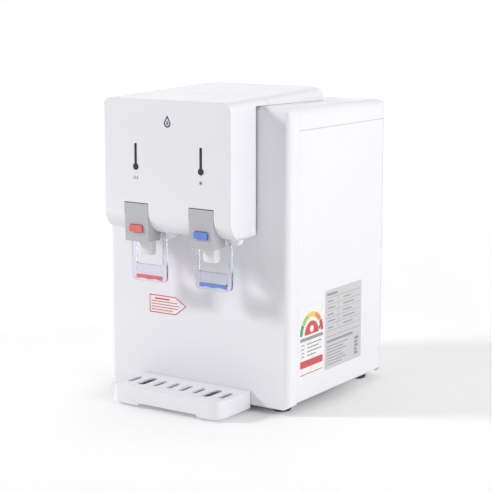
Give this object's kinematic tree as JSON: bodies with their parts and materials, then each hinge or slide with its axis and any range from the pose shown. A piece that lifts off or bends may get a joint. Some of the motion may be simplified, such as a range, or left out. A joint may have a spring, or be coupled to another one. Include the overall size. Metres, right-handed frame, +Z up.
{
  "type": "countertop water dispenser",
  "caption": "Box-shaped hot and cold water dispenser with a deep tap head, two push levers, a lift-off reservoir lid and a slide-out drip tray.",
  "frame": {"origin": "middle of the footprint's bounding box, on the surface the feet stand on", "axes": "+Z up, -Y towards the taps and the user, +X to the right seen from the front"},
  "size_m": [0.26, 0.298, 0.3677],
  "materials": {
    "white_shell": "satin moulded white",
    "inner_plastic": "matt moulded off-white",
    "tap_grey": "satin grey",
    "dark_lens": "gloss dark",
    "black_rubber": "matt",
    "clear_acrylic": "clear polished",
    "red_plastic": "satin red",
    "blue_plastic": "satin blue",
    "green_plastic": "satin green",
    "stainless": "brushed",
    "spring_steel": "polished wire",
    "aluminium": "extruded",
    "ceramic": "matt ceramic",
    "foam": "rigid foam",
    "silicone": "soft translucent",
    "circuit_board": "solder mask",
    "black_plastic": "matt moulded"
  },
  "bodies": {
    "root": {"front_panel": "white_shell", "left_side_panel": "white_shell", "right_side_panel": "white_shell", "top_cover": "white_shell", "rear_panel": "white_shell", "base_pan": "inner_plastic", "foot_front_left": "black_rubber", "foot_front_right": "black_rubber", "foot_rear_left": "black_rubber", "foot_rear_right": "black_rubber", "tap_head": "white_shell", "indicator_hot": "dark_lens", "indicator_cold": "dark_lens", "cold_tank": "stainless", "tank_jacket": "foam", "baffle": "inner_plastic", "inlet_valve": "inner_plastic", "cooling_block": "aluminium", "cooling_module": "ceramic", "heat_sink": "aluminium", "fan_frame": "black_plastic", "hot_tank": "stainless", "hot_jacket": "foam", "heater_band": "stainless", "thermostat": "black_plastic", "filter_cartridge": "inner_plastic", "filter_head": "tap_grey", "cold_hose": "silicone", "hot_hose": "silicone", "hot_feed_hose": "silicone", "water_inlet": "white_shell", "power_inlet": "black_plastic", "switch_frame": "black_plastic", "power_board": "circuit_board", "tap_cover_hot": "tap_grey", "tap_body_hot": "tap_grey", "valve_spring_hot": "spring_steel", "tap_cover_cold": "tap_grey", "tap_body_cold": "tap_grey", "valve_spring_cold": "spring_steel"},
    "hot_lever": {"lever_hot": "clear_acrylic", "lever_bar_hot": "red_plastic", "lever_pin_hot": "spring_steel", "lift_fork_hot": "stainless"},
    "cold_lever": {"lever_cold": "clear_acrylic", "lever_bar_cold": "blue_plastic", "lever_pin_cold": "spring_steel", "lift_fork_cold": "stainless"},
    "hot_plunger": {"valve_plunger_hot": "silicone"},
    "cold_plunger": {"valve_plunger_cold": "silicone"},
    "hot_button": {"lock_button_hot": "red_plastic"},
    "cold_button": {"lock_button_cold": "blue_plastic"},
    "lid": {"reservoir_lid": "white_shell", "lid_gasket": "silicone"},
    "tray": {"drip_tray": "white_shell"},
    "grille": {"drip_grille": "white_shell"},
    "fan": {"fan_rotor": "black_plastic"},
    "hot_rocker": {"hot_switch": "red_plastic"},
    "cold_rocker": {"cold_switch": "green_plastic"},
    "float": {"float_arm": "inner_plastic"}
  },
  "joints": [
    {"name": "hot_lever_press", "type": "hinge", "parent": "root", "child": "hot_lever", "pos_m": [-0.04255, -0.127, 0.2222], "axis": [1, 0, 0], "range_deg": [0, 16], "stiffness_Nm_per_rad": 0.3, "springref_deg": -8.59},
    {"name": "hot_valve_lift", "type": "slide", "parent": "root", "child": "hot_plunger", "axis": [0, 0, 1], "range_m": [0, 0.003], "deforming": ["valve_spring_hot"]},
    {"name": "hot_lock_push", "type": "slide", "parent": "root", "child": "hot_button", "axis": [0, 1, 0], "range_m": [0, 0.0025], "stiffness_N_per_m": 250, "springref_m": -0.002},
    {"name": "cold_lever_press", "type": "hinge", "parent": "root", "child": "cold_lever", "pos_m": [0.04895, -0.127, 0.2222], "axis": [1, 0, 0], "range_deg": [0, 16], "stiffness_Nm_per_rad": 0.3, "springref_deg": -8.59},
    {"name": "cold_valve_lift", "type": "slide", "parent": "root", "child": "cold_plunger", "axis": [0, 0, 1], "range_m": [0, 0.003], "deforming": ["valve_spring_cold"]},
    {"name": "cold_lock_push", "type": "slide", "parent": "root", "child": "cold_button", "axis": [0, 1, 0], "range_m": [0, 0.0025], "stiffness_N_per_m": 250, "springref_m": -0.002},
    {"name": "lid_lift", "type": "slide", "parent": "root", "child": "lid", "axis": [0, 0, 1], "range_m": [0, 0.09]},
    {"name": "tray_slide", "type": "slide", "parent": "root", "child": "tray", "axis": [0, -1, 0], "range_m": [0, 0.09]},
    {"name": "grille_lift", "type": "slide", "parent": "tray", "child": "grille", "axis": [0, 0, 1], "range_m": [0, 0.05]},
    {"name": "fan_spin", "type": "hinge", "parent": "root", "child": "fan", "pos_m": [0, 0.1295, 0.28], "axis": [0, 1, 0], "continuous": true},
    {"name": "hot_rocker_tilt", "type": "hinge", "parent": "root", "child": "hot_rocker", "pos_m": [0.086, 0.142, 0.062], "axis": [1, 0, 0], "range_deg": [-16, 0]},
    {"name": "cold_rocker_tilt", "type": "hinge", "parent": "root", "child": "cold_rocker", "pos_m": [0.07, 0.142, 0.062], "axis": [1, 0, 0], "range_deg": [-16, 0]},
    {"name": "float_swing", "type": "hinge", "parent": "root", "child": "float", "pos_m": [-0.047, -0.027, 0.321], "axis": [0, -1, 0], "range_deg": [0, 28]}
  ],
  "couplings": [
    {"joint": "hot_lever_press", "follows": "hot_valve_lift", "rad_per_m": 93.084},
    {"joint": "cold_lever_press", "follows": "cold_valve_lift", "rad_per_m": 93.084}
  ]
}
